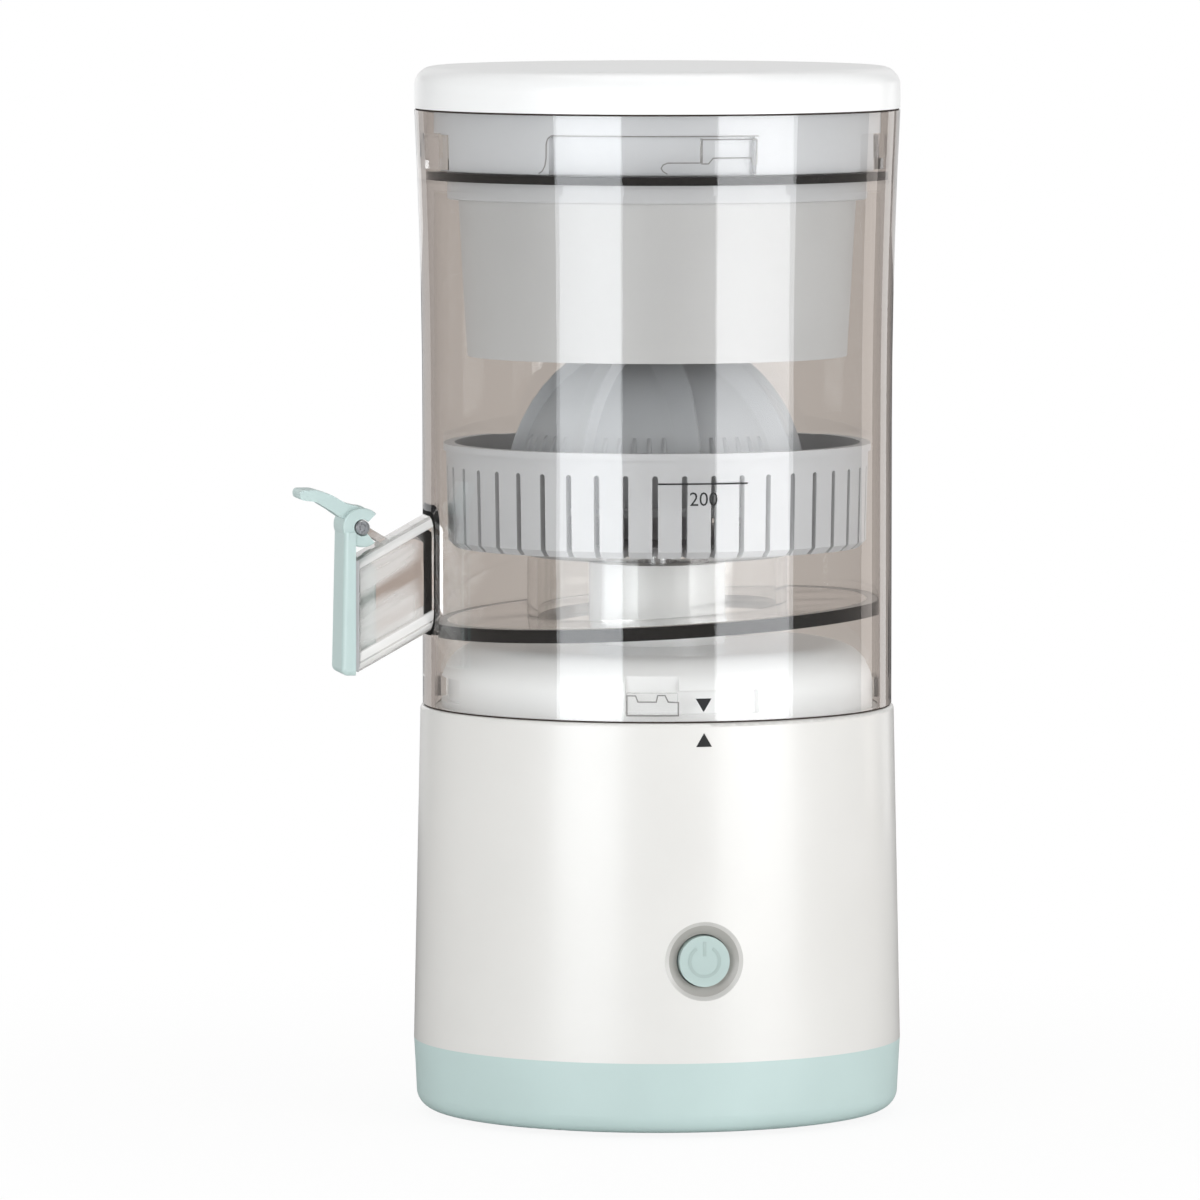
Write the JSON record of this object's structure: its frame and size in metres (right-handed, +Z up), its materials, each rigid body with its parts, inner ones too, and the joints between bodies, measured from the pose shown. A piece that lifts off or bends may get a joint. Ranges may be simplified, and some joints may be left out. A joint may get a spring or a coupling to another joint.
{
  "type": "citrus juicer",
  "caption": "Cordless citrus juicer: white base with mint foot and button, clear cup with hinged spout cap, slotted strainer, ribbed reamer and a lid with a fruit press.",
  "frame": {"origin": "on the reamer axis, on the flat underside of the anti-slip pad", "axes": "+Z up; the button faces -Y; the spout points to -X"},
  "size_m": [0.1312, 0.105, 0.226],
  "materials": {
    "white_shell": "pearl white, satin gloss",
    "mint": "pale mint, satin",
    "grey_food": "light grey, fine matte",
    "clear": "clear, slightly smoked",
    "black_seal": "black silicone, matte",
    "bezel_grey": "warm grey, satin",
    "pad_rubber": "grey rubber",
    "steel": "ground steel",
    "motor_steel": "drawn steel can",
    "bronze": "sintered bronze",
    "gear_white": "natural acetal",
    "inner_black": "black moulded plastic",
    "board_green": "green solder mask",
    "cell_wrap": "blue shrink wrap"
  },
  "bodies": {
    "base": {"base_housing": "white_shell", "bottom_cover": "mint", "anti_slip_pad": "pad_rubber", "bottom_screws": "steel", "gear_plate": "inner_black", "gear_cover": "inner_black", "gear_screws": "steel", "idler_pin": "steel", "shaft_bush_lower": "bronze", "shaft_bush_upper": "bronze", "shaft_seal": "black_seal", "motor_screws": "steel", "motor_can": "motor_steel", "battery_tray": "inner_black", "battery_cells": "cell_wrap", "button_bezel": "bezel_grey", "tact_switch": "inner_black", "switch_board": "board_green", "charge_board": "board_green", "board_screws": "steel", "charge_socket": "steel"},
    "drive": {"output_gear": "gear_white", "drive_shaft": "steel", "drive_coupling": "grey_food"},
    "idler": {"idler_gear": "gear_white"},
    "rotor": {"motor_shaft": "steel", "motor_pinion": "bronze"},
    "button": {"button_cap": "mint", "switch_plunger": "inner_black"},
    "cup": {"juice_cup": "clear", "cup_floor": "clear", "floor_seal": "black_seal", "rim_seal": "black_seal", "strainer": "grey_food", "spout": "clear", "spout_gasket": "black_seal"},
    "cap": {"spout_cap": "mint", "spout_cap_seal": "grey_food"},
    "reamer": {"reamer": "grey_food"},
    "lid": {"lid_cap": "white_shell", "fruit_press": "grey_food", "fruit_grip": "grey_food", "lid_screws": "steel"}
  },
  "joints": [
    {"name": "drive_spin", "type": "hinge", "parent": "base", "child": "drive", "pos_m": [0, 0, 0.07], "axis": [0, 0, 1], "continuous": true},
    {"name": "idler_spin", "type": "hinge", "parent": "base", "child": "idler", "pos_m": [0.028, 0, 0.07], "axis": [0, 0, 1], "continuous": true},
    {"name": "motor_spin", "type": "hinge", "parent": "base", "child": "rotor", "pos_m": [0.0163, 0.01394, 0.06], "axis": [0, 0, 1], "continuous": true},
    {"name": "button_press", "type": "slide", "parent": "base", "child": "button", "axis": [0, 1, 0], "range_m": [0, 0.0009], "stiffness_N_per_m": 1500},
    {"name": "cup_lift", "type": "slide", "parent": "base", "child": "cup", "axis": [0, 0, 1], "range_m": [0, 0.07]},
    {"name": "spout_cap_swing", "type": "hinge", "parent": "cup", "child": "cap", "pos_m": [-0.0654, 0, 0.1274], "axis": [0, 1, 0], "range_deg": [0, 80]},
    {"name": "reamer_spin", "type": "hinge", "parent": "cup", "child": "reamer", "pos_m": [0, 0, 0.145], "axis": [0, 0, 1], "continuous": true},
    {"name": "lid_lift", "type": "slide", "parent": "cup", "child": "lid", "axis": [0, 0, 1], "range_m": [0, 0.06]}
  ],
  "couplings": [
    {"joint": "reamer_spin", "follows": "drive_spin", "ratio": 1},
    {"joint": "idler_spin", "follows": "drive_spin", "ratio": -3},
    {"joint": "motor_spin", "follows": "drive_spin", "ratio": 10}
  ]
}
